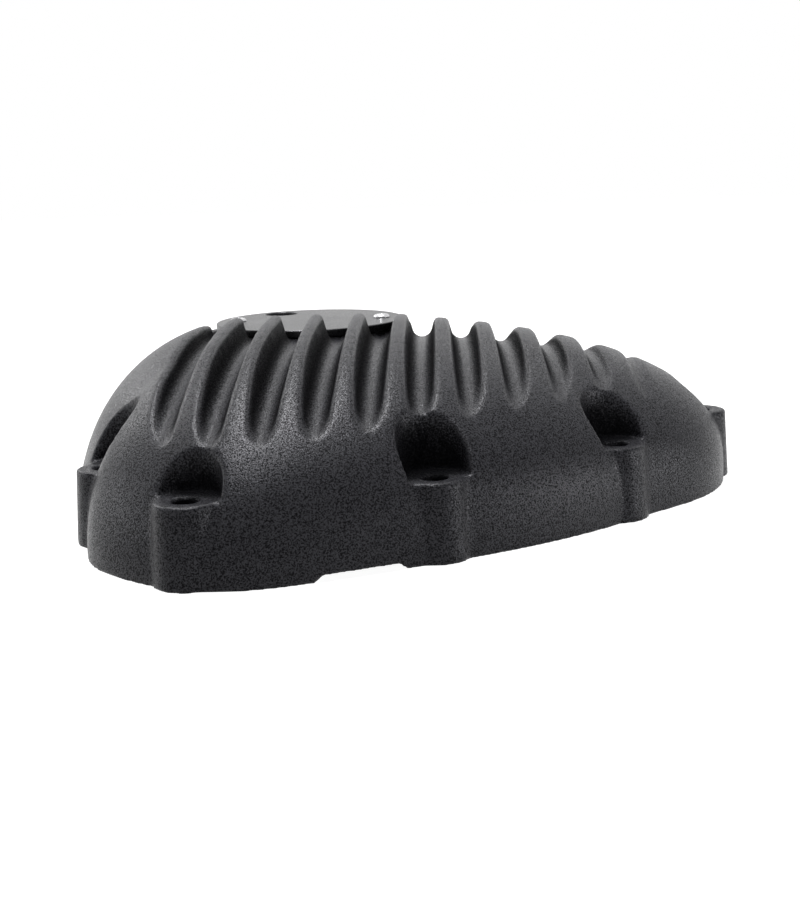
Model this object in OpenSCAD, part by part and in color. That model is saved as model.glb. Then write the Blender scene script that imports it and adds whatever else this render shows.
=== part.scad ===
// Alternator cover: a hollow cast dome with cooling ribs, nine bolt bosses in
// pockets, and a round plate screwed to a seat on top. The gasket face lies at
// z = 0, x runs across the ribs and y runs along them.

/* [Casting] */
// Height of the dome above the gasket face
dome_h = 53; // [48:1:62]
// Distance of the dome's crown behind the nose bolt
crown_back = 124.1; // [110:1:136]
// Fullness of the dome's crown towards the nose
crown_nose_share = 1.87; // [1.7:0.05:2.3]
// Fullness of the dome's crown towards the broad end
crown_head_share = 3; // [2.5:0.1:3.4]
// Steepness of the wall towards the nose
wall_nose_share = 3; // [2.4:0.1:3.3]
// Steepness of the wall towards the broad end
wall_head_share = 2; // [1.9:0.1:2.6]
// Distance from the bolt line out to the foot of the wall
skirt_out = 7; // [6:0.25:8]
// How far the wall swells between the nose bolt and the second bolts
nose_swell = 1.3; // [0:0.1:2]
// How far the wall draws in between the third and the fourth bolts
side_draw = 1.5; // [0:0.1:2]
// How far the wall swells between the fourth and the last bolts
corner_swell = 3.2; // [0:0.1:3.5]
// How far the wall draws in between the last two bolts
end_draw = 1.4; // [0:0.1:3]
// Width of the gasket face
land_w = 8; // [7:0.25:9]
// Height of the roof inside, over the gasket face
roof_h = 38.5; // [34:0.5:39]

/* [Bolts] */
// Distance from the nose bolt back to the second bolts
bolt_d_x = 32.5; // [30:0.5:35]
// Distance of the second bolts from the middle line
bolt_d_y = 48; // [45:0.5:51]
// Distance from the nose bolt back to the third bolts
bolt_c_x = 82.8; // [78:0.5:86]
// Distance of the third bolts from the middle line
bolt_c_y = 82.6; // [80:0.5:85]
// Distance from the nose bolt back to the fourth bolts
bolt_b_x = 142.8; // [139:0.5:146]
// Distance of the fourth bolts from the middle line
bolt_b_y = 99.9; // [97:0.5:103]
// Distance from the nose bolt back to the last bolts
bolt_a_x = 171.3; // [168:0.5:174]
// Distance of the last bolts from the middle line
bolt_a_y = 60.7; // [57:0.5:64]
// Radius of a boss at its ledge
boss_r = 8; // [7.5:0.25:8.5]
// How far a pocket is wider than its boss at the ledge
pocket_gap = 0.9; // [0.2:0.1:1.2]
// How far a pocket widens from the ledge up to the crown
pocket_draft = 2; // [0:0.25:2.5]
// Growth of a boss from its ledge down to the gasket face
boss_flare = 1.3; // [0.5:0.1:2]
// Height of the ledge that the bolt's head sits on
ledge_h = 20.6; // [16:0.2:24]
// Radius of a bolt's hole
bolt_hole_r = 3.3; // [2.7:0.1:4.2]
// Thickness of the casting round a pocket
pocket_wall = 3; // [2.5:0.25:3.5]

/* [Ribs] */
// Distance from one rib to the next
rib_pitch = 13.1; // [12.2:0.1:13.4]
// Distance from the nose bolt back to the first trough
trough_back = 20.4; // [20:0.2:24]
// Radius of a trough's round floor
trough_r = 3.4; // [2.6:0.1:4]
// Width of the deepest trough at the crown
trough_w = 9.6; // [8.8:0.1:10.4]
// Depth of the deepest trough below the dome
trough_depth = 8.6; // [6:0.1:9]
// Height at which the very first trough, at the nose, runs out of the wall
foot_tip_h = 31; // [29:0.5:32.5]
// Height at which the next troughs run out of the wall
foot_nose_h = 33.5; // [31:0.5:36]
// Height at which the last troughs, at the broad end, run out of the wall
foot_head_h = 31; // [29:0.5:34]

/* [Plate] */
// Radius of the round plate
plate_r = 31.6; // [28:0.2:33]
// Thickness of the plate
plate_t = 2.5; // [2:0.1:3]
// How far the plate's upper face lies below the crown
plate_drop = 5.4; // [4:0.1:6.5]
// Distance of the plate's middle from the middle line
plate_y = 41; // [38:0.5:43]
// Clearance round the plate in its recess
plate_gap = 2.5; // [1.8:0.1:3]
// How far the recess is shifted away from the ribs' ends
recess_shift = 1.5; // [0.5:0.1:1.7]
// Distance of the plate's two screws from its middle
screw_out = 24.5; // [20:0.25:26]
// Radius of a plate screw's thread
screw_r = 1.5; // [1.2:0.1:2]
// Radius of a plate screw's head
screw_head_r = 2.8; // [2.3:0.1:3.2]
// Clearance round a plate screw in the plate
screw_gap = 0.2; // [0.1:0.05:0.4]
// Height of a plate screw's head
screw_head_t = 1.2; // [0.8:0.1:1.8]
// Depth of a plate screw in the casting
screw_depth = 4; // [3:0.25:5]
// Width across the hexagon socket in a plate screw
socket_w = 2; // [1.6:0.1:2.4]
// Radius of the round hole in the plate
eye_r = 5.6; // [4:0.1:6.5]
// Distance of that hole from the plate's middle, across the ribs
eye_x = 11.9; // [10:0.1:14]
// Distance of that hole from the plate's middle, along the ribs
eye_y = 20; // [17:0.1:21]

/* [Inside] */
// Radius of the circle of the stator's three pads
stator_r = 30; // [26:0.5:34]
// Radius of a stator pad
pad_r = 7; // [6:0.25:8]
// Height of the stator pads' faces over the gasket face
pad_h = 27; // [24:0.5:31]
// Radius of a tapped hole in a stator pad
tap_r = 2.5; // [2:0.1:3.2]
// Depth of a tapped hole in a stator pad
tap_depth = 11; // [8:0.5:12]
// Length of the notch in the rim
notch_l = 20; // [14:0.5:24]
// Height of the notch in the rim
notch_h = 1.7; // [1:0.1:3]
// Distance from the nose bolt back to the notch's middle
notch_back = 101.1; // [99:0.5:108]

/* [Hidden] */
$fn = 36;
// One overrun serves all cuts.
over = 2;
// Depth of each trough, as a share of the deepest, from the nose to the broad end.
trough_shares = [0.15, 0.44, 0.62, 0.74, 0.82, 0.92, 0.97, 1, 1, 0.95, 0.8];
// The troughs between which the foot comes down, counted from the nose.
foot_turn = [5, 9];
// How far the corner's swell is pushed towards the last bolt.
skew_share = 1.3;
// Where the wall turns from the nose's steepness to the broad end's.
turn_shares = [0.25, 0.65];
// Faces between two bolts round the wall, and up the dome.
steps_per_side = 8;
inner_steps_per_side = 4;
rings = 11;
inner_rings = 7;
trough_steps = 10;
round_steps = 6;
hex_sides = 6;
half = 1 / 2;

// Bolt places from the nose bolt, anticlockwise from the nose.
bolts_raw = [
    [0, 0], [-bolt_d_x, bolt_d_y], [-bolt_c_x, bolt_c_y], [-bolt_b_x, bolt_b_y],
    [-bolt_a_x, bolt_a_y], [-bolt_a_x, -bolt_a_y], [-bolt_b_x, -bolt_b_y],
    [-bolt_c_x, -bolt_c_y], [-bolt_d_x, -bolt_d_y]
];
bolt_count = len(bolts_raw);

function at(list, i) = list[(i + len(list)) % len(list)];
// Direction of the smooth line through the bolts at one of them.
function heading(i) =
    let (
        a = at(bolts_raw, i) - at(bolts_raw, i - 1),
        b = at(bolts_raw, i + 1) - at(bolts_raw, i),
        t = a / (a * a) + b / (b * b)
    ) t / norm(t);
// A point of that line, and its direction, between two bolts.
function line_point(i, u) =
    let (
        p = at(bolts_raw, i), q = at(bolts_raw, i + 1), d = norm(q - p),
        m = heading(i) * d, n = heading(i + 1) * d
    ) p * (2 * u ^ 3 - 3 * u ^ 2 + 1) + m * (u ^ 3 - 2 * u ^ 2 + u)
        + q * (3 * u ^ 2 - 2 * u ^ 3) + n * (u ^ 3 - u ^ 2);
function line_heading(i, u) =
    let (
        p = at(bolts_raw, i), q = at(bolts_raw, i + 1), d = norm(q - p),
        m = heading(i) * d, n = heading(i + 1) * d,
        t = p * (6 * u ^ 2 - 6 * u) + m * (3 * u ^ 2 - 4 * u + 1)
            + q * (6 * u - 6 * u ^ 2) + n * (3 * u ^ 2 - 2 * u)
    ) t / norm(t);
// How far each side of the wall swells between its two bolts.
swells = [
    nose_swell, 0, -side_draw, corner_swell, -end_draw, corner_swell, -side_draw, 0, nose_swell
];
// The swell of a corner lies nearer to the last bolt than to the fourth.
function skewed(i, u) =
    i == 3 ? u ^ skew_share : i == 5 ? 1 - (1 - u) ^ skew_share : u;
function swell(i, u) = swells[i] * sin(180 * skewed(i, u)) ^ 2;
// The closed line at a distance outside the bolts.
function outline(out, steps) = [
    for (i = [0 : bolt_count - 1], k = [0 : steps - 1])
        let (u = k / steps, p = line_point(i, u), t = line_heading(i, u))
            p + (out + swell(i, u)) * [t[1], -t[0]]
];

wall_raw = outline(skirt_out, steps_per_side);
// The origin lies in the middle of the overall box.
mid_x = (boss_r + boss_flare + min([for (p = wall_raw) p[0]])) / 2;
bolts = [for (p = bolts_raw) [p[0] - mid_x, p[1]]];
crown = [-crown_back - mid_x, 0];
plate_c = [crown[0], plate_y];
trough_xs = [
    for (i = [0 : len(trough_shares) - 1]) -trough_back - i * rib_pitch - mid_x
];

// The dome's fullness and steepness in the direction of a point of its outline: they
// change from the nose, where aft is 0, to the broad end, where it is 1.
function aft(p) = half - (p - crown)[0] / norm(p - crown) * half;
function blend(a, b, t) = a + (b - a) * min(1, max(0, t));
function ease(t) = half - cos(180 * min(1, max(0, t))) * half;
function fullness(p) = blend(crown_nose_share, crown_head_share, aft(p));
function steepness(p) =
    let (t = (aft(p) - turn_shares[0]) / (turn_shares[1] - turn_shares[0]))
        blend(wall_nose_share, wall_head_share, ease(t));
// How far a ring has drawn in at a share of the dome's height.
function drawn(share, p) = max(0, 1 - share ^ steepness(p)) ^ (1 / fullness(p));
function dome_ring(line, share) = [for (p = line) crown + (p - crown) * drawn(share, p)];
function moved(line) = [for (p = line) [p[0] - mid_x, p[1]]];
// Heights of the rings, closer together near the crown.
function ring_share(k, count) = sin(90 * k / count);

// A dome over a closed outline.
module dome(line, h, count, drop) {
    n = len(line);
    base = [for (p = line) [p[0], p[1], -drop]];
    body = [
        for (k = [0 : count - 1])
            let (s = ring_share(k, count))
                for (p = dome_ring(line, s)) [p[0], p[1], h * s]
    ];
    low = drop > 0 ? concat(base, body) : body;
    levels = drop > 0 ? count + 1 : count;
    points = concat(low, [[crown[0], crown[1], h]]);
    top = len(points) - 1;
    faces = concat(
        [[for (i = [0 : n - 1]) i]],
        [
            for (k = [0 : levels - 2], i = [0 : n - 1], half_face = [0, 1])
                let (a = k * n + i, b = k * n + (i + 1) % n)
                    half_face == 0 ? [a, a + n, b] : [b, a + n, b + n]
        ],
        [
            for (i = [0 : n - 1])
                [(levels - 1) * n + i, top, (levels - 1) * n + (i + 1) % n]
        ]
    );
    polyhedron(points, faces, convexity = 4);
}

wall_line = moved(wall_raw);
// Height at which a trough runs out of the wall.
function foot_h(i) =
    i == 0 ? foot_tip_h
        : blend(foot_nose_h, foot_head_h, (i - foot_turn[0]) / (foot_turn[1] - foot_turn[0]));
// Where the wall's ring at that height crosses a given x on the +y side.
function foot_y(x, ring) = max([
    for (i = [0 : len(ring) - 1])
        let (p = ring[i], q = at(ring, i + 1))
            if ((p[0] - x) * (q[0] - x) <= 0 && p[0] != q[0])
                p[1] + (q[1] - p[1]) * (x - p[0]) / (q[0] - p[0])
]);
// Height of the dome over the middle line.
function crown_h(x) =
    let (
        end = x > crown[0] ? bolts[0][0] + skirt_out : min([for (p = wall_line) p[0]]),
        p = [end, 0], share = min(1, (x - crown[0]) / (end - crown[0]))
    ) dome_h * (1 - share ^ fullness(p)) ^ (1 / steepness(p));

// The walls of a trough lean out by this angle, from the end of its round floor.
wall_lean = atan((trough_w / 2 - trough_r) / (trough_depth - trough_r));
// The section of a trough, from one upper corner round its floor to the other.
function trough_section(z) =
    let (
        a = 90 - wall_lean, top = dome_h + over,
        edge_x = trough_r * sin(a), edge_z = z + trough_r * (1 - cos(a)),
        top_x = edge_x + (top - edge_z) * tan(wall_lean)
    ) concat(
        [[top_x, top]],
        [
            for (k = [0 : round_steps])
                let (b = a * (1 - 2 * k / round_steps))
                    [trough_r * sin(b), z + trough_r * (1 - cos(b))]
        ],
        [[-top_x, top]]
    );
// A trough cut along the dome: its floor is a flat arc over the middle line.
module trough(x, depth, foot) {
    y = foot_y(x, dome_ring(wall_line, foot / dome_h));
    z = crown_h(x) - depth;
    rise = z - foot;
    r = (y ^ 2 + rise ^ 2) / (2 * rise);
    reach = y + 2 * trough_r;
    sections = [
        for (k = [0 : trough_steps])
            let (v = reach * (2 * k / trough_steps - 1))
                [for (s = trough_section(z - r + sqrt(r ^ 2 - v ^ 2))) [x + s[0], v, s[1]]]
    ];
    n = len(sections[0]);
    points = [for (s = sections, p = s) p];
    faces = concat(
        [[for (i = [0 : n - 1]) i]],
        [
            for (k = [0 : trough_steps - 1], i = [0 : n - 1], half_face = [0, 1])
                let (a = k * n + i, b = k * n + (i + 1) % n)
                    half_face == 0 ? [a, a + n, b] : [b, a + n, b + n]
        ],
        [[for (i = [n - 1 : -1 : 0]) trough_steps * n + i]]
    );
    polyhedron(points, faces, convexity = 4);
}

// The bosses: tapered posts that stand a little proud of the wall.
module bosses() {
    for (p = bolts)
        translate([p[0], p[1], 0])
            cylinder(h = ledge_h, r1 = boss_r + boss_flare, r2 = boss_r);
}
pocket_r = boss_r + pocket_gap;
column_r = pocket_r + pocket_wall;
// The columns that keep the casting thick round each pocket, inside.
module columns() {
    for (p = bolts)
        translate([p[0], p[1], -over])
            cylinder(h = dome_h + over, r1 = column_r, r2 = column_r + pocket_draft);
}
module pockets() {
    for (p = bolts)
        translate([p[0], p[1], ledge_h])
            cylinder(h = dome_h - ledge_h + over, r1 = pocket_r, r2 = pocket_r + pocket_draft);
}
module bolt_holes() {
    for (p = bolts)
        translate([p[0], p[1], -over])
            cylinder(h = ledge_h + 2 * over, r = bolt_hole_r);
}
// The three pads that the stator is bolted to.
module at_pads() {
    for (a = [0 : 120 : 240])
        translate([crown[0] + stator_r * cos(a), stator_r * sin(a), 0]) children();
}
module hollow() {
    difference() {
        dome(moved(outline(skirt_out - land_w, inner_steps_per_side)), roof_h, inner_rings, over);
        columns();
        at_pads() translate([0, 0, pad_h]) cylinder(h = dome_h, r = pad_r);
    }
}
plate_h = dome_h - plate_drop;
seat_z = plate_h - plate_t;
recess_r = plate_r + plate_gap;
module at_plate() {
    translate([plate_c[0], plate_c[1], 0]) children();
}
module cast_shell() {
    difference() {
        union() {
            difference() {
                dome(wall_line, dome_h, rings, 0);
                for (i = [0 : len(trough_shares) - 1])
                    trough(trough_xs[i], trough_depth * trough_shares[i], foot_h(i));
            }
            // The seat under the plate fills the troughs that it crosses.
            at_plate()
                translate([0, 0, roof_h - over]) cylinder(h = seat_z - roof_h + over, r = plate_r);
            bosses();
        }
        at_plate()
            translate([-recess_shift, recess_shift, seat_z]) cylinder(h = dome_h, r = recess_r);
    }
}

module cover() {
    color("#2b2b2d")
        difference() {
            cast_shell();
            hollow();
            pockets();
            bolt_holes();
            at_pads() translate([0, 0, pad_h - over]) cylinder(h = tap_depth + over, r = tap_r);
            // Tapped holes for the plate's screws.
            for (s = [-1, 1])
                translate([plate_c[0] + s * screw_out, plate_c[1], seat_z - screw_depth])
                    cylinder(h = screw_depth + over, r = screw_r);
            notch();
        }
}
// The notch in the rim, on the side of the -y bolts.
module notch() {
    x = -notch_back - mid_x;
    y = min([
        for (i = [0 : len(wall_line) - 1])
            let (p = wall_line[i], q = at(wall_line, i + 1))
                if ((p[0] - x) * (q[0] - x) <= 0 && p[0] != q[0])
                    p[1] + (q[1] - p[1]) * (x - p[0]) / (q[0] - p[0])
    ]);
    translate([x - notch_l / 2, y - notch_l / 2, -over])
        cube([notch_l, notch_l / 2 + land_w + over, notch_h + over]);
}

module plate() {
    color("#303033")
        difference() {
            at_plate() translate([0, 0, seat_z]) cylinder(h = plate_t, r = plate_r);
            for (s = [-1, 1])
                translate([plate_c[0] + s * screw_out, plate_c[1], seat_z - over])
                    cylinder(h = plate_t + 2 * over, r = screw_r + screw_gap);
            translate([plate_c[0] - eye_x, plate_c[1] + eye_y, seat_z - over])
                cylinder(h = plate_t + 2 * over, r = eye_r);
        }
}

// A button-head screw with a hexagon socket.
module plate_screw(side) {
    color("#b9bbbe")
        translate([plate_c[0] + side * screw_out, plate_c[1], plate_h])
            difference() {
                union() {
                    cylinder(h = screw_head_t, r1 = screw_head_r, r2 = screw_head_r * half);
                    translate([0, 0, -plate_t - screw_depth])
                        cylinder(h = plate_t + screw_depth, r = screw_r);
                }
                translate([0, 0, screw_head_t * half])
                    cylinder(h = screw_head_t, r = socket_w * half, $fn = hex_sides);
            }
}

cover();
plate();
plate_screw(-1);  // screw_left
plate_screw(1);  // screw_right
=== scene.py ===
"""Looks of the alternator cover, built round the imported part.

The casting is rebuilt from the part's own measures as one distance field on a fine grid, so
that its crests, pocket rims and the blends round its bosses are soft as on a real casting.
The plate and its two screws are rebuilt with rounded edges. Lengths are in millimetres until
a mesh is made. A field is negative inside its shape.
"""

import math

import bpy
import numpy as np
from mathutils import Matrix, Vector


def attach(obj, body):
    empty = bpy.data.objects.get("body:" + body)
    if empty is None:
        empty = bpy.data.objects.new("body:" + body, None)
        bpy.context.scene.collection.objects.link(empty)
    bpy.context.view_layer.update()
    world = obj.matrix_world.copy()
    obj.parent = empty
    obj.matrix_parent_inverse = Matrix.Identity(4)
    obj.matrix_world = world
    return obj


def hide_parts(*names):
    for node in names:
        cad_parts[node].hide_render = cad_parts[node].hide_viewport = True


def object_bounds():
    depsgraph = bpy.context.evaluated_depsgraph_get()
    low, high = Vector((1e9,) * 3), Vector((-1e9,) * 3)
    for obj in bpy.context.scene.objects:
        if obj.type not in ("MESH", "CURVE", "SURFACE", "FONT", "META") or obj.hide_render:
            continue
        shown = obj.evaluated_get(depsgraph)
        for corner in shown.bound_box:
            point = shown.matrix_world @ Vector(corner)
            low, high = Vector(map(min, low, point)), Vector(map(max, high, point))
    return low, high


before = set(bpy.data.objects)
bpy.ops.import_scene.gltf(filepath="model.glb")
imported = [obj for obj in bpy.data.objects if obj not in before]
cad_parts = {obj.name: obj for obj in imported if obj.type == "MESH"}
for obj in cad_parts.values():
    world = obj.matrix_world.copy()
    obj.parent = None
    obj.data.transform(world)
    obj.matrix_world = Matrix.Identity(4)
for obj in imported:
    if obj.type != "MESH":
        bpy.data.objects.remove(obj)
cad_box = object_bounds()
MM = 0.001
VOXEL = 0.8
# In cells: the room round the part, and a shift that keeps flat faces off the grid's planes.
GRID_MARGIN, GRID_SHIFT = 2.2, 0.37
CASTING_TRIANGLES = 190000

# The part's measures, as in part.scad.
DOME_H, ROOF_H = 53.0, 38.5
CROWN_BACK = 124.1
CROWN_SHARES, WALL_SHARES, TURN_SHARES = (1.87, 3.0), (3.0, 2.0), (0.25, 0.65)
SKIRT_OUT, LAND_W = 7.0, 8.0
NOSE_SWELL, SIDE_DRAW, CORNER_SWELL, END_DRAW, SKEW = 1.3, 1.5, 3.2, 1.4, 1.3
BOLTS_RAW = np.array([
    (0, 0), (-32.5, 48), (-82.8, 82.6), (-142.8, 99.9), (-171.3, 60.7),
    (-171.3, -60.7), (-142.8, -99.9), (-82.8, -82.6), (-32.5, -48),
], float)
BOSS_R, BOSS_FLARE, LEDGE_H, BOLT_HOLE_R = 8.0, 1.3, 20.6, 3.3
POCKET_R, POCKET_DRAFT, POCKET_WALL = 8.9, 2.0, 3.0
RIB_PITCH, TROUGH_BACK = 13.1, 20.4
TROUGH_R, TROUGH_W, TROUGH_DEPTH = 3.4, 9.6, 8.6
FOOT_TIP_H, FOOT_NOSE_H, FOOT_HEAD_H, FOOT_TURN = 31.0, 33.5, 31.0, (5, 9)
DEPTHS = (0.15, 0.44, 0.62, 0.74, 0.82, 0.92, 0.97, 1, 1, 0.95, 0.8)
PLATE_R, PLATE_T, PLATE_H, PLATE_Y = 31.6, 2.5, 47.6, 41.0
PLATE_GAP, RECESS_SHIFT = 2.5, 1.5
SCREW_OUT, SCREW_R, SCREW_HEAD_R, SCREW_HEAD_T, SCREW_DEPTH = 24.5, 1.5, 2.8, 1.2, 4.0
EYE_R, EYE_X, EYE_Y = 5.6, 11.9, 20.0
STATOR_R, PAD_R, PAD_H, TAP_R, TAP_DEPTH = 30.0, 7.0, 27.0, 2.5, 11.0
NOTCH_L, NOTCH_H, NOTCH_BACK = 20.0, 1.7, 101.1
SEAT_Z = PLATE_H - PLATE_T

# The radii that the faceted part leaves out.
CREST_ROUND, RECESS_ROUND = 1.5, 2.2
BOSS_FILLET, LEDGE_ROUND = 2.0, 0.3
POCKET_RIM_ROUND, POCKET_FLOOR_ROUND = 0.8, 0.6
COLUMN_ROUND, PAD_ROUND = 1.5, 0.4
PLATE_EDGE = 0.4


# The outline.
def heading(i):
    """The outline's direction at a bolt."""
    a = BOLTS_RAW[i % 9] - BOLTS_RAW[(i - 1) % 9]
    b = BOLTS_RAW[(i + 1) % 9] - BOLTS_RAW[i % 9]
    t = a / a.dot(a) + b / b.dot(b)
    return t / np.linalg.norm(t)


def outline(out, steps):
    """The closed line at a distance outside the bolts, with its swells."""
    swells = (NOSE_SWELL, 0, -SIDE_DRAW, CORNER_SWELL, -END_DRAW,
              CORNER_SWELL, -SIDE_DRAW, 0, NOSE_SWELL)
    points = []
    for i in range(9):
        p, q = BOLTS_RAW[i], BOLTS_RAW[(i + 1) % 9]
        d = np.linalg.norm(q - p)
        m, n = heading(i) * d, heading(i + 1) * d
        for k in range(steps):
            u = k / steps
            at = (p * (2 * u**3 - 3 * u**2 + 1) + m * (u**3 - 2 * u**2 + u)
                  + q * (3 * u**2 - 2 * u**3) + n * (u**3 - u**2))
            t = (p * (6 * u**2 - 6 * u) + m * (3 * u**2 - 4 * u + 1)
                 + q * (6 * u - 6 * u**2) + n * (3 * u**2 - 2 * u))
            t = t / np.linalg.norm(t)
            w = u**SKEW if i == 3 else 1 - (1 - u)**SKEW if i == 5 else u
            swell = swells[i] * math.sin(math.pi * w)**2
            points.append(at + (out + swell) * np.array([t[1], -t[0]]))
    return np.array(points)


MID_X = (BOSS_R + BOSS_FLARE + outline(SKIRT_OUT, 8)[:, 0].min()) / 2
BOLTS = BOLTS_RAW - [MID_X, 0]
CROWN_X = -CROWN_BACK - MID_X
WALL = outline(SKIRT_OUT, 48) - [MID_X, 0]
WALL_IN = outline(SKIRT_OUT - LAND_W, 48) - [MID_X, 0]
PADS = [(CROWN_X + STATOR_R * math.cos(a), STATOR_R * math.sin(a))
        for a in (0, 2 * math.pi / 3, 4 * math.pi / 3)]


def blend(pair, t):
    return pair[0] + (pair[1] - pair[0]) * np.clip(t, 0, 1)


def fullness(aft):
    return blend(CROWN_SHARES, aft)


def steepness(aft):
    t = np.clip((aft - TURN_SHARES[0]) / (TURN_SHARES[1] - TURN_SHARES[0]), 0, 1)
    return blend(WALL_SHARES, 0.5 - 0.5 * np.cos(math.pi * t))


# The fields and their joins.
def dome_field(x, y, z, line, h):
    """About the distance to a dome of height h over a closed line."""
    dx, dy = x - CROWN_X, y
    r = np.hypot(dx, dy) + 1e-6
    angle = np.arctan2(dy, dx)
    la = np.arctan2(line[:, 1], line[:, 0] - CROWN_X)
    order = np.argsort(la)
    la, lr = la[order], np.hypot(line[:, 0] - CROWN_X, line[:, 1])[order]
    la = np.concatenate([la[-3:] - 2 * math.pi, la, la[:3] + 2 * math.pi])
    lr = np.concatenate([lr[-3:], lr, lr[:3]])
    reach = np.interp(angle, la, lr)
    turn = np.interp(angle, la, np.gradient(lr, la)) / reach
    aft = 0.5 - 0.5 * dx / r
    full, steep = fullness(aft), steepness(aft)
    share, up = r / reach, np.maximum(z, 0) / h
    value = share**full + up**steep - 1
    side = full * share**(full - 1) / reach * np.sqrt(1 + turn**2)
    rise = steep * up**(steep - 1) / h
    return (value / (np.hypot(side, rise) + 1e-4)).astype(np.float32)


def cylinder(rho, z, r, low, high):
    return np.maximum(rho - r, np.maximum(low - z, z - high))


def between(a, b):
    """Cosine of the angle between the normals of two fields."""
    ga, gb = np.gradient(a), np.gradient(b)
    size = np.sqrt(sum(g * g for g in ga) * sum(g * g for g in gb)) + 1e-9
    return np.clip(sum(p * q for p, q in zip(ga, gb)) / size, -0.98, 0.98)


def both(a, b, r):
    """Where a and b are both inside, with the edge between them rounded by r."""
    a, b = np.broadcast_arrays(a, b)
    c = between(a, b)
    a1, b1 = a + r, b + r
    near = (a1 > c * b1) & (b1 > c * a1)
    edge = np.sqrt(np.maximum(a1 * a1 + b1 * b1 - 2 * c * a1 * b1, 0) / (1 - c * c)) - r
    return np.where(near, edge, np.maximum(a, b))


def either(a, b, r):
    """Where a or b is inside, with the corner between them filled by r."""
    return -both(-a, -b, r)


lo = np.array(cad_box[0]) / MM - GRID_MARGIN * VOXEL
hi = np.array(cad_box[1]) / MM + GRID_MARGIN * VOXEL
axes = [np.arange(lo[k] + GRID_SHIFT * VOXEL, hi[k], VOXEL, dtype=np.float32) for k in range(3)]
GX, GY, GZ = axes[0][:, None, None], axes[1][None, :, None], axes[2][None, None, :]


def cells(axis, low, high):
    """The slice of the grid between two places on an axis."""
    return slice(*np.searchsorted(axes[axis], (low, high)))


def window(cx, cy, reach):
    """The part of the grid round a vertical axis: slices, and the distance from the axis."""
    sx, sy = cells(0, cx - reach, cx + reach), cells(1, cy - reach, cy + reach)
    return (sx, sy), np.hypot(GX[sx] - cx, GY[:, sy] - cy)


def trough_x(i):
    return -TROUGH_BACK - i * RIB_PITCH - MID_X


def trough_foot(i):
    """The height at which a trough's floor runs out of the wall."""
    if i == 0:
        return FOOT_TIP_H
    return blend((FOOT_NOSE_H, FOOT_HEAD_H), (i - FOOT_TURN[0]) / (FOOT_TURN[1] - FOOT_TURN[0]))


def trough_field(i, x, y, z):
    """A trough, round at the root, whose floor is an arc from foot to foot over the crown."""
    x0 = trough_x(i)
    offset = x0 - CROWN_X
    end = BOLTS[0][0] + SKIRT_OUT if offset > 0 else WALL[:, 0].min()
    aft = 0.0 if offset > 0 else 1.0
    crown_h = DOME_H * (1 - abs(offset / (end - CROWN_X))**fullness(aft))**(1 / steepness(aft))
    foot = trough_foot(i)
    # Where the wall's ring at the foot's height crosses the trough.
    afts = 0.5 - 0.5 * (WALL[:, 0] - CROWN_X) / np.hypot(WALL[:, 0] - CROWN_X, WALL[:, 1])
    drawn = (1 - (foot / DOME_H)**steepness(afts))**(1 / fullness(afts))
    ring = np.stack([CROWN_X + (WALL[:, 0] - CROWN_X) * drawn, WALL[:, 1] * drawn], 1)
    y_foot = max(p[1] + (q[1] - p[1]) * (x0 - p[0]) / (q[0] - p[0])
                 for p, q in zip(ring, np.roll(ring, -1, 0))
                 if (p[0] - x0) * (q[0] - x0) <= 0 and p[0] != q[0])
    top = crown_h - TROUGH_DEPTH * DEPTHS[i]
    rise = top - foot
    r = (y_foot**2 + rise**2) / (2 * rise)
    root = np.sqrt(np.maximum(r * r - y * y, 1))
    floor_cos = root / r
    u, w = np.abs(x - x0), z - (top - r + root) - TROUGH_R
    lean = math.atan((TROUGH_W / 2 - TROUGH_R) / (TROUGH_DEPTH - TROUGH_R))
    on_wall = u * math.sin(lean) + w * math.cos(lean) > 0
    round_d = np.hypot(u, w)
    facing = floor_cos + (1 - floor_cos) * u / (round_d + 1e-6)
    wall_d = u * math.cos(lean) - w * math.sin(lean) - TROUGH_R
    return np.where(on_wall, wall_d, (round_d - TROUGH_R) * facing)


# The casting. Each reach of a window is the shape's radius and room for its rounding.
def cut_troughs(d):
    sz = slice(int(np.searchsorted(axes[2], 20.0)), None)
    for i in range(len(DEPTHS)):
        sx = cells(0, trough_x(i) - 9, trough_x(i) + 9)
        cut = trough_field(i, GX[sx], GY, GZ[:, :, sz])
        d[sx, :, sz] = both(d[sx, :, sz], -cut, CREST_ROUND)


def add_bosses(d):
    """Bosses, blended into the wall below their ledges."""
    tilt = math.cos(math.atan(BOSS_FLARE / LEDGE_H))
    for bx, by in BOLTS:
        win, rho = window(bx, by, BOSS_R + BOSS_FLARE + 9)
        cone = (rho - (BOSS_R + BOSS_FLARE * (1 - GZ / LEDGE_H))) * tilt
        blended = both(either(d[win], cone, BOSS_FILLET), GZ - LEDGE_H, LEDGE_ROUND)
        d[win] = np.minimum(d[win], blended)


def cut_recess(d):
    reach = PLATE_R + PLATE_GAP
    win, rho = window(CROWN_X - RECESS_SHIFT, PLATE_Y + RECESS_SHIFT, reach + 4)
    d[win] = both(d[win], -np.maximum(rho - PLATE_R - PLATE_GAP, SEAT_Z - GZ), RECESS_ROUND)


def cut_pockets(d):
    """Pockets, widening upwards, with soft rims."""
    draft = POCKET_DRAFT / (DOME_H - LEDGE_H)
    for bx, by in BOLTS:
        win, rho = window(bx, by, POCKET_R + POCKET_DRAFT + 5)
        side = (rho - POCKET_R - draft * (GZ - LEDGE_H)) * math.cos(math.atan(draft))
        pocket = both(side, LEDGE_H - GZ, POCKET_FLOOR_ROUND)
        d[win] = both(d[win], -pocket, POCKET_RIM_ROUND)


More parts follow.
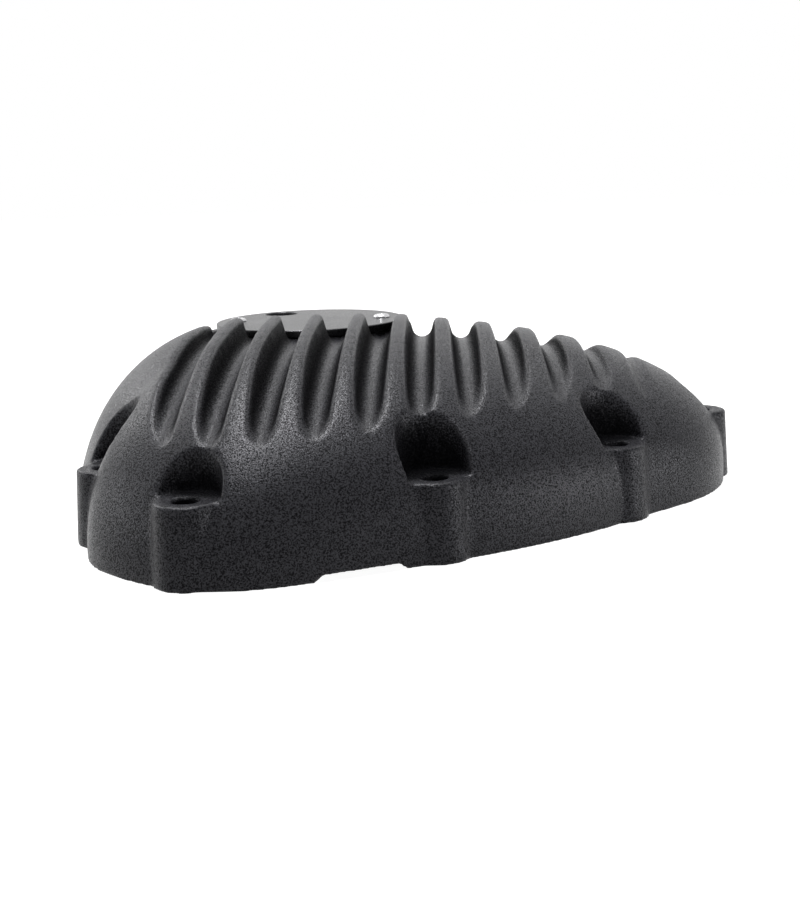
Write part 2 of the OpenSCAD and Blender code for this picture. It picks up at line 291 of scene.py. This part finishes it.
def hollow_field():
    """The hollow, with the columns round the pockets and the stator's pads left standing."""
    hollow = dome_field(GX, GY, GZ, WALL_IN, ROOF_H)
    for bx, by in BOLTS:
        reach = POCKET_R + POCKET_WALL
        win, rho = window(bx, by, reach + POCKET_DRAFT + 6)
        column = rho - reach - POCKET_DRAFT * GZ / DOME_H
        hollow[win] = both(hollow[win], -column, COLUMN_ROUND)
    for px, py in PADS:
        win, rho = window(px, py, PAD_R + 4)
        hollow[win] = both(hollow[win], -np.maximum(rho - PAD_R, PAD_H - GZ), PAD_ROUND)
    return hollow


def drill(d):
    """The bolt holes, the pads' tapped holes and those of the plate's screws."""
    for bx, by in BOLTS:
        win, rho = window(bx, by, BOLT_HOLE_R + 3)
        d[win] = np.maximum(d[win], BOLT_HOLE_R - rho)
    for px, py in PADS:
        win, rho = window(px, py, TAP_R + 3)
        d[win] = np.maximum(d[win], -cylinder(rho, GZ, TAP_R, PAD_H - 5, PAD_H + TAP_DEPTH))
    for s in (-1, 1):
        win, rho = window(CROWN_X + s * SCREW_OUT, PLATE_Y, SCREW_R + 3)
        hole = cylinder(rho, GZ, SCREW_R, SEAT_Z - SCREW_DEPTH, SEAT_Z + 3)
        d[win] = np.maximum(d[win], -hole)


def cut_notch(d):
    """The notch in the near rim, with ends that slope at 45 degrees."""
    nx = -NOTCH_BACK - MID_X
    sx = cells(0, nx - NOTCH_L, nx + NOTCH_L)
    near = WALL[WALL[:, 1] < 0]
    ny = near[np.argmin(abs(near[:, 0] - nx)), 1]
    ends = (abs(GX[sx] - nx) - NOTCH_L / 2 - NOTCH_H / 2 + GZ) / math.sqrt(2)
    box = np.maximum(np.maximum(ends, GZ - NOTCH_H), GY - (ny + LAND_W + 2))
    d[sx] = np.maximum(d[sx], -box)


def casting_field():
    d = dome_field(GX, GY, GZ, WALL, DOME_H)
    cut_troughs(d)
    # The seat of the plate.
    win, rho = window(CROWN_X, PLATE_Y, PLATE_R + 4)
    d[win] = np.minimum(d[win], cylinder(rho, GZ, PLATE_R, ROOF_H - 2, SEAT_Z))
    add_bosses(d)
    cut_recess(d)
    cut_pockets(d)
    # The gasket face, then the hollow.
    d = np.maximum(d, -GZ)
    d = np.maximum(d, -hollow_field())
    drill(d)
    cut_notch(d)
    return d


def surface(d):
    """The zero surface of the field: one vertex a cell, one quad a crossed edge."""
    inside = d < 0
    shape = np.array(d.shape) - 1
    total = np.zeros(int(shape.prod()), np.int32)
    sums = np.zeros((3, total.size))
    found = []
    for axis in range(3):
        a = [slice(None)] * 3
        b = [slice(None)] * 3
        a[axis], b[axis] = slice(0, -1), slice(1, None)
        hit = inside[tuple(a)] != inside[tuple(b)]
        idx = np.stack(np.nonzero(hit), 1)
        others = [k for k in range(3) if k != axis]
        keep = np.all((idx[:, others] > 0) & (idx[:, others] < shape[others]), axis=1)
        idx = idx[keep]
        v0 = d[tuple(idx.T)]
        nxt = idx.copy()
        nxt[:, axis] += 1
        v1 = d[tuple(nxt.T)]
        at = idx.astype(float)
        at[:, axis] += v0 / (v0 - v1)
        corners = []
        for o0, o1 in ((0, 0), (1, 0), (1, 1), (0, 1)):
            cell = idx.copy()
            cell[:, others[0]] -= o0
            cell[:, others[1]] -= o1
            corners.append(np.ravel_multi_index(tuple(cell.T), tuple(shape)))
        for c in corners:
            total += np.bincount(c, minlength=total.size).astype(np.int32)
            for k in range(3):
                sums[k] += np.bincount(c, weights=at[:, k], minlength=total.size)
        quad = np.stack(corners, 1)
        flip = (v0 < 0) == (axis == 1)
        quad[flip] = quad[flip][:, ::-1]
        found.append(quad)
    used = np.nonzero(total)[0]
    number = np.full(total.size, -1, np.int64)
    number[used] = np.arange(used.size)
    verts = (sums[:, used] / total[used]).T
    verts = np.stack([axes[k][0] + verts[:, k] * VOXEL for k in range(3)], 1)
    return verts, number[np.concatenate(found)]


def mesh_object(name, verts_mm, faces):
    """A smooth-shaded object, from an array of quads or a list of faces."""
    me = bpy.data.meshes.new(name)
    verts = np.asarray(verts_mm, float) * MM
    if isinstance(faces, np.ndarray):
        n, k = faces.shape
        me.vertices.add(len(verts))
        me.vertices.foreach_set("co", verts.ravel())
        me.loops.add(n * k)
        me.loops.foreach_set("vertex_index", faces.ravel().astype(np.int32))
        me.polygons.add(n)
        me.polygons.foreach_set("loop_start", np.arange(0, n * k, k, dtype=np.int32))
        me.update(calc_edges=True)
    else:
        me.from_pydata([tuple(v) for v in verts], [], faces)
    me.validate()
    me.polygons.foreach_set("use_smooth", [True] * len(me.polygons))
    ob = bpy.data.objects.new(name, me)
    bpy.context.scene.collection.objects.link(ob)
    return ob


def slim(ob, triangles):
    """Merges the flattest faces until so many triangles are left."""
    mod = ob.modifiers.new("slim", "DECIMATE")
    mod.ratio = triangles / (2 * len(ob.data.polygons))
    graph = bpy.context.evaluated_depsgraph_get()
    me = bpy.data.meshes.new_from_object(ob.evaluated_get(graph))
    ob.modifiers.clear()
    ob.data = me


def read_vectors(items, key):
    """A vector of every vertex or face of a mesh, as rows."""
    values = np.empty(len(items) * 3)
    items.foreach_get(key, values)
    return values.reshape(-1, 3)


# How the painted shading grows: a pocket's with its depth below the dome, a trough's with the
# depth and with the distance across from its centre line. Each pair is a start and a width.
POCKET_SHADE, FLANK_DEPTH_SHADE, FLANK_ACROSS_SHADE = (1.5, 4), (0.9, 1.6), (0.9, 2.0)


def ramp(value, start, width):
    return np.clip((value - start) / width, 0, 1)


def painted_shade_share(verts):
    """The share of painted shade at each vertex: how far in a pocket or down a trough's flank it
    lies, from 0 on the wall to 1.
    """
    x, y, z = verts.T
    depth = -dome_field(x, y, z, WALL, DOME_H)
    across = abs((x + MID_X + TROUGH_BACK + RIB_PITCH / 2) % RIB_PITCH - RIB_PITCH / 2)
    flank_shade = ramp(depth, *FLANK_DEPTH_SHADE) * ramp(across, *FLANK_ACROSS_SHADE)
    pocket = np.zeros(len(verts), bool)
    for bx, by in BOLTS:
        pocket |= np.hypot(x - bx, y - by) < POCKET_R + POCKET_DRAFT + 0.6
    pocket &= z > LEDGE_H - 0.3
    trough = ~pocket & (dome_field(x, y, z, WALL_IN, ROOF_H) > 0.5)
    return ramp(depth, *POCKET_SHADE) * pocket + flank_shade * trough


def cut_faces(mesh):
    """1 for the faces that a cutter left bare: the gasket face and the pads."""
    normals = read_vectors(mesh.polygons, "normal")
    x, y, z = read_vectors(mesh.polygons, "center").T / MM
    on_pad = np.zeros(len(z), bool)
    for px, py in PADS:
        on_pad |= np.hypot(x - px, y - py) < PAD_R + 0.3
    on_pad &= abs(z - PAD_H) < 0.5
    return ((normals[:, 2] < -0.9) & (on_pad | (z < 0.5))).astype(np.int32)


casting = mesh_object("casting", *surface(casting_field()))
slim(casting, CASTING_TRIANGLES)
# Painted shade: a share at each vertex that darkens the pockets by depth and the troughs' flanks
# by depth and position, standing in for the shadow there.
painted_shade = casting.data.attributes.new("painted_shade", "FLOAT", "POINT")
painted_shade.data.foreach_set("value", painted_shade_share(
    read_vectors(casting.data.vertices, "co") / MM).astype(np.float32))


# The materials.
def new_material(name):
    mat = bpy.data.materials.new(name)
    mat.use_nodes = True
    nodes, links = mat.node_tree.nodes, mat.node_tree.links
    nodes.clear()
    out = nodes.new("ShaderNodeOutputMaterial")
    shader = nodes.new("ShaderNodeBsdfPrincipled")
    links.new(shader.outputs[0], out.inputs["Surface"])
    where = nodes.new("ShaderNodeTexCoord").outputs["Object"]
    return mat, nodes, links, shader, where


def noise(nodes, links, where, size_mm, detail=2.0, rough=0.5):
    n = nodes.new("ShaderNodeTexNoise")
    n.inputs["Scale"].default_value = 1 / (size_mm * MM)
    n.inputs["Detail"].default_value = detail
    n.inputs["Roughness"].default_value = rough
    links.new(where, n.inputs["Vector"])
    return n.outputs["Fac"]


def spread(nodes, links, value, low, high, from_low=0.3, from_high=0.7):
    n = nodes.new("ShaderNodeMapRange")
    n.inputs["From Min"].default_value = from_low
    n.inputs["From Max"].default_value = from_high
    n.inputs["To Min"].default_value = low
    n.inputs["To Max"].default_value = high
    links.new(value, n.inputs["Value"])
    return n.outputs["Result"]


def tint(nodes, links, value, dark, light, low=0.3, high=0.7):
    n = nodes.new("ShaderNodeValToRGB")
    n.color_ramp.elements[0].position, n.color_ramp.elements[1].position = low, high
    n.color_ramp.elements[0].color = (*dark, 1)
    n.color_ramp.elements[1].color = (*light, 1)
    links.new(value, n.inputs["Fac"])
    return n.outputs["Color"]


def join(nodes, links, operation, a, b):
    """A Math node on two outputs."""
    n = nodes.new("ShaderNodeMath")
    n.operation = operation
    links.new(a, n.inputs[0])
    links.new(b, n.inputs[1])
    return n.outputs[0]


def bump(nodes, links, height, distance_mm, strength):
    n = nodes.new("ShaderNodeBump")
    n.inputs["Strength"].default_value = strength
    n.inputs["Distance"].default_value = distance_mm * MM
    links.new(height, n.inputs["Height"])
    return n.outputs["Normal"]


# The part of the grain's noise over which colour, and roughness and gloss, change.
GRAIN_COLOUR, GRAIN_GLOSS = (0.4, 0.62), (0.38, 0.64)


def powder_coat(name, dark, light, grain_mm, grain_d, rough, gloss, gloss_spread):
    """A grained coat whose colour and gloss fall, and whose roughness rises, with the painted
    shade of the pockets and the troughs' flanks.
    """
    mat, nodes, links, shader, where = new_material(name)
    grain = noise(nodes, links, where, grain_mm, 3.0, 0.55)
    broad = noise(nodes, links, where, 30, 3.0)
    attribute = nodes.new("ShaderNodeAttribute")
    attribute.attribute_name = "painted_shade"

    def by_painted_shade(on_wall, fully_shaded):
        return spread(nodes, links, attribute.outputs["Fac"], on_wall, fully_shaded, 0, 1)

    def by_grain(low, high):
        return spread(nodes, links, grain, low, high, *GRAIN_GLOSS)

    def times(a, b):
        return join(nodes, links, "MULTIPLY", a, b)

    # Painted shade: the colour darkens in the pockets and down the troughs' flanks.
    links.new(tint(nodes, links, times(grain, by_painted_shade(1, 0.6)), dark, light, *GRAIN_COLOUR),
              shader.inputs["Base Color"])
    roughness = times(spread(nodes, links, broad, *rough), by_grain(1.3, 0.75))
    links.new(times(roughness, by_painted_shade(1, 2.2)), shader.inputs["Roughness"])
    # Painted shade: the gloss falls almost to nothing in the pockets and down the troughs'
    # flanks, so that they reflect almost no light.
    links.new(times(by_painted_shade(gloss, 0.05), by_grain(*gloss_spread)),
              shader.inputs["Specular IOR Level"])
    shader.inputs["Specular Tint"].default_value = (0.94, 0.94, 1, 1)
    links.new(bump(nodes, links, grain, grain_d, 1.0), shader.inputs["Normal"])
    return mat


def steel_material():
    mat, nodes, links, shader, where = new_material("steel")
    shader.inputs["Metallic"].default_value = 1.0
    fine = noise(nodes, links, where, 0.25)
    broad = noise(nodes, links, where, 1.6)
    links.new(tint(nodes, links, broad, (0.5, 0.5, 0.51), (0.66, 0.66, 0.67)),
              shader.inputs["Base Color"])
    links.new(spread(nodes, links, fine, 0.2, 0.34), shader.inputs["Roughness"])
    links.new(bump(nodes, links, fine, 0.01, 0.6), shader.inputs["Normal"])
    return mat


def machined_material():
    """Bare aluminium of the gasket face and the pads, with the cutter's fine lines."""
    mat, nodes, links, shader, where = new_material("machined_aluminium")
    shader.inputs["Metallic"].default_value = 1.0
    lines = nodes.new("ShaderNodeTexWave")
    lines.inputs["Scale"].default_value = 900
    lines.inputs["Distortion"].default_value = 1.5
    links.new(where, lines.inputs["Vector"])
    broad = noise(nodes, links, where, 12)
    links.new(tint(nodes, links, broad, (0.55, 0.555, 0.56), (0.66, 0.665, 0.67)),
              shader.inputs["Base Color"])
    links.new(spread(nodes, links, broad, 0.32, 0.45), shader.inputs["Roughness"])
    links.new(bump(nodes, links, lines.outputs["Fac"], 0.01, 0.5), shader.inputs["Normal"])
    return mat


coat = powder_coat("textured_black", (0.002, 0.002, 0.0025), (0.036, 0.036, 0.041),
                   0.4, 0.115, (0.3, 0.36), 0.18, (0.25, 1.4))
plate_coat = powder_coat("satin_black", (0.01, 0.01, 0.0105), (0.014, 0.014, 0.015),
                         0.5, 0.05, (0.26, 0.34), 0.5, (0.6, 1.2))
steel, machined = steel_material(), machined_material()

casting.data.materials.append(coat)
casting.data.materials.append(machined)
casting.data.polygons.foreach_set("material_index", cut_faces(casting.data))
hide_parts("cover")
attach(casting, "root")


# The plate.
def ring_curve(name, loops, z_low, z_high, edge):
    """A flat plate with round holes and softly rounded edges."""
    cu = bpy.data.curves.new(name, "CURVE")
    cu.dimensions = "2D"
    cu.fill_mode = "BOTH"
    cu.extrude = ((z_high - z_low) / 2 - edge) * MM
    cu.bevel_depth = edge * MM
    cu.bevel_resolution = 3
    cu.offset = -edge * MM
    for cx, cy, r, n in loops:
        sp = cu.splines.new("POLY")
        sp.points.add(n - 1)
        for k in range(n):
            a = 2 * math.pi * k / n
            sp.points[k].co = ((cx + r * math.cos(a)) * MM, (cy + r * math.sin(a)) * MM, 0, 1)
        sp.use_cyclic_u = True
    ob = bpy.data.objects.new(name, cu)
    bpy.context.scene.collection.objects.link(ob)
    dg = bpy.context.evaluated_depsgraph_get()
    me = bpy.data.meshes.new_from_object(ob.evaluated_get(dg))
    bpy.data.objects.remove(ob)
    me.transform(Matrix.Translation((0, 0, (z_low + z_high) / 2 * MM)))
    out = bpy.data.objects.new(name, me)
    bpy.context.scene.collection.objects.link(out)
    return out


SCREW_HOLE_R = SCREW_R + 0.2
disc = ring_curve("disc", [
    (CROWN_X, PLATE_Y, PLATE_R, 160),
    (CROWN_X - EYE_X, PLATE_Y + EYE_Y, EYE_R, 64),
    (CROWN_X - SCREW_OUT, PLATE_Y, SCREW_HOLE_R, 40),
    (CROWN_X + SCREW_OUT, PLATE_Y, SCREW_HOLE_R, 40),
], SEAT_Z, PLATE_H, PLATE_EDGE)
disc.data.materials.clear()
disc.data.materials.append(plate_coat)
for p in disc.data.polygons:
    p.use_smooth = abs(p.normal.z) < 0.98
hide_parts("plate")
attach(disc, "root")

# The plate's screws: the head's chamfer and straight edge, the dome's rows, and the socket's
# half width, lead-in and depths as shares of the head.
HEAD_CHAMFER, HEAD_EDGE, HEAD_ROWS = 0.15, 0.12, 8
SOCKET_R, SOCKET_LEAD, SOCKET_FLOOR, SOCKET_TIP = 1.0, (0.12, 0.1), 0.45, 0.25


def hexagon(a):
    """The distance from the socket's centre to its side, at an angle."""
    return SOCKET_R / math.cos((a + math.pi / 6) % (math.pi / 3) - math.pi / 6)


def button_screw(name, node, cx, cy):
    """A screw of rows of points, from its lower end up over the head and into the socket."""
    n = 48
    angles = [2 * math.pi * k / n for k in range(n)]
    profile = [(SCREW_R, -PLATE_T - SCREW_DEPTH), (SCREW_R, 0.0),
               (SCREW_HEAD_R - HEAD_CHAMFER, 0.0), (SCREW_HEAD_R, HEAD_EDGE)]
    for k in range(1, HEAD_ROWS):
        a = k / HEAD_ROWS * math.pi / 2
        profile.append((SCREW_HEAD_R * math.cos(a * 0.72),
                        HEAD_EDGE + (SCREW_HEAD_T - HEAD_EDGE) * math.sin(a * 0.98)))
    rows = [[place] * n for place in profile]
    for wider, z in ((SOCKET_LEAD[0], SCREW_HEAD_T), (0, SCREW_HEAD_T - SOCKET_LEAD[1]),
                     (0, SCREW_HEAD_T * SOCKET_FLOOR)):
        rows.append([(hexagon(a) + wider, z) for a in angles])
    points, faces = [], []
    for row in rows:
        for a, (r, z) in zip(angles, row):
            points.append((cx + r * math.cos(a), cy + r * math.sin(a), PLATE_H + z))
    for i in range(len(rows) - 1):
        for k in range(n):
            a, b = i * n + k, i * n + (k + 1) % n
            faces.append((a, b, b + n, a + n))
    last = (len(rows) - 1) * n
    points.append((cx, cy, PLATE_H + SCREW_HEAD_T * SOCKET_TIP))
    points.append((cx, cy, PLATE_H - PLATE_T - SCREW_DEPTH))
    for k in range(n):
        faces.append((last + k, last + (k + 1) % n, len(points) - 2))
        faces.append((k, len(points) - 1, (k + 1) % n))
    ob = mesh_object(name, points, faces)
    ob.data.materials.append(steel)
    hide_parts(node)
    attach(ob, "root")


button_screw("button_screw_left", "screw_left", CROWN_X - SCREW_OUT, PLATE_Y)
button_screw("button_screw_right", "screw_right", CROWN_X + SCREW_OUT, PLATE_Y)


# The camera, as fitted to the photograph.
CAMERA_TURN, CAMERA_TIP, CAMERA_ROLL = 1.66, 12.6, 1.9
CAMERA_PLACE = (-MID_X - 82.1, -401.4, 96.5)
FOCAL_PIXELS, PHOTO_PIXELS, SENSOR = 1300, 920, 36.0


def photo_camera():
    turn, tip, roll = map(math.radians, (CAMERA_TURN, CAMERA_TIP, CAMERA_ROLL))
    look = Vector((-math.sin(turn) * math.cos(tip), math.cos(turn) * math.cos(tip),
                   -math.sin(tip)))
    level = Vector((math.cos(turn), math.sin(turn), 0))
    over = level.cross(look)
    right = level * math.cos(roll) - over * math.sin(roll)
    up = level * math.sin(roll) + over * math.cos(roll)
    cam_data = bpy.data.cameras.new("camera")
    cam_data.sensor_width, cam_data.sensor_height = SENSOR, SENSOR
    cam_data.sensor_fit = "AUTO"
    cam_data.lens = FOCAL_PIXELS * SENSOR / PHOTO_PIXELS
    cam = bpy.data.objects.new("camera", cam_data)
    place = Vector(CAMERA_PLACE) * MM
    cam.matrix_world = Matrix((
        (right.x, up.x, -look.x, place.x),
        (right.y, up.y, -look.y, place.y),
        (right.z, up.z, -look.z, place.z),
        (0, 0, 0, 1),
    ))
    bpy.context.scene.collection.objects.link(cam)
    bpy.context.scene.camera = cam


photo_camera()


# The floor, the world and the lamps.
FLOOR_COLOUR, FLOOR_GLOW = (0.3, 0.3, 0.3, 1), 0.96
# The world brightens towards this direction, the back horizon, over this range of cosines.
BRIGHT_SIDE, BRIGHT_RANGE, BRIGHT_LEVEL = (0.18, 0.93, 0.3), (0.68, 0.98), 1.7


def seen_share(nodes, links):
    """1 for the rays that show the background: camera, glossy and transmission rays."""
    path = nodes.new("ShaderNodeLightPath")
    share = path.outputs["Is Camera Ray"]
    for name in ("Is Glossy Ray", "Is Transmission Ray"):
        share = join(nodes, links, "MAXIMUM", share, path.outputs[name])
    return share


def floor_material():
    """Matte, and white to the rays that show the background."""
    mat = bpy.data.materials.new("pale_floor")
    mat.use_nodes = True
    nodes, links = mat.node_tree.nodes, mat.node_tree.links
    nodes.clear()
    out = nodes.new("ShaderNodeOutputMaterial")
    matt = nodes.new("ShaderNodeBsdfDiffuse")
    matt.inputs["Color"].default_value = FLOOR_COLOUR
    glow = nodes.new("ShaderNodeEmission")
    add = nodes.new("ShaderNodeAddShader")
    strength = nodes.new("ShaderNodeMath")
    strength.operation = "MULTIPLY"
    strength.inputs[1].default_value = FLOOR_GLOW
    links.new(seen_share(nodes, links), strength.inputs[0])
    links.new(strength.outputs[0], glow.inputs["Strength"])
    links.new(matt.outputs[0], add.inputs[0])
    links.new(glow.outputs[0], add.inputs[1])
    links.new(add.outputs[0], out.inputs["Surface"])
    return mat


def studio_world():
    """White to the rays that show the background; to others, bright at the back horizon."""
    world = bpy.data.worlds.new("studio")
    bpy.context.scene.world = world
    world.use_nodes = True
    nodes, links = world.node_tree.nodes, world.node_tree.links
    nodes.clear()
    out = nodes.new("ShaderNodeOutputWorld")
    light, seen = (nodes.new("ShaderNodeBackground") for _ in range(2))
    for background in (light, seen):
        background.inputs["Color"].default_value = (1, 1, 1, 1)
    direction = nodes.new("ShaderNodeTexCoord").outputs["Generated"]
    dot = nodes.new("ShaderNodeVectorMath")
    dot.operation = "DOT_PRODUCT"
    dot.inputs[1].default_value = BRIGHT_SIDE
    links.new(direction, dot.inputs[0])
    strength = nodes.new("ShaderNodeMapRange")
    strength.interpolation_type = "SMOOTHSTEP"
    strength.inputs["From Min"].default_value = BRIGHT_RANGE[0]
    strength.inputs["From Max"].default_value = BRIGHT_RANGE[1]
    strength.inputs["To Min"].default_value = 0.0
    strength.inputs["To Max"].default_value = BRIGHT_LEVEL
    links.new(dot.outputs["Value"], strength.inputs["Value"])
    links.new(strength.outputs["Result"], light.inputs["Strength"])
    mix = nodes.new("ShaderNodeMixShader")
    links.new(seen_share(nodes, links), mix.inputs["Fac"])
    links.new(light.outputs[0], mix.inputs[1])
    links.new(seen.outputs[0], mix.inputs[2])
    links.new(mix.outputs[0], out.inputs["Surface"])


def soft_box(name, place, aim, size, power):
    data = bpy.data.lights.new(name, "AREA")
    data.shape = "RECTANGLE"
    data.size, data.size_y = size
    data.energy = power
    ob = bpy.data.objects.new(name, data)
    ob.location = place
    ob.rotation_euler = (Vector(aim) - Vector(place)).to_track_quat("-Z", "Y").to_euler()
    bpy.context.scene.collection.objects.link(ob)


bpy.ops.mesh.primitive_plane_add(size=6, location=(0, 0, -0.0002))
floor = bpy.context.object
floor.name = "floor"
floor.data.materials.append(floor_material())

studio_world()
# Place, aim and size in metres, power in watts.
soft_box("top_light", (-0.1, 0.1, 0.9), (-0.1, 0.1, 0.03), (0.2, 0.9), 14)
soft_box("back_light", (-0.6, 0.6, 0.5), (0, 0, 0.03), (0.3, 0.5), 1.5)
soft_box("left_light", (-0.95, 0.12, 0.25), (0, 0, 0.03), (0.35, 0.35), 1.5)
soft_box("right_light", (0.6, -0.2, 0.035), (0.06, 0, 0.01), (0.3, 0.06), 1.3)

bpy.context.scene.view_settings.view_transform = "Standard"
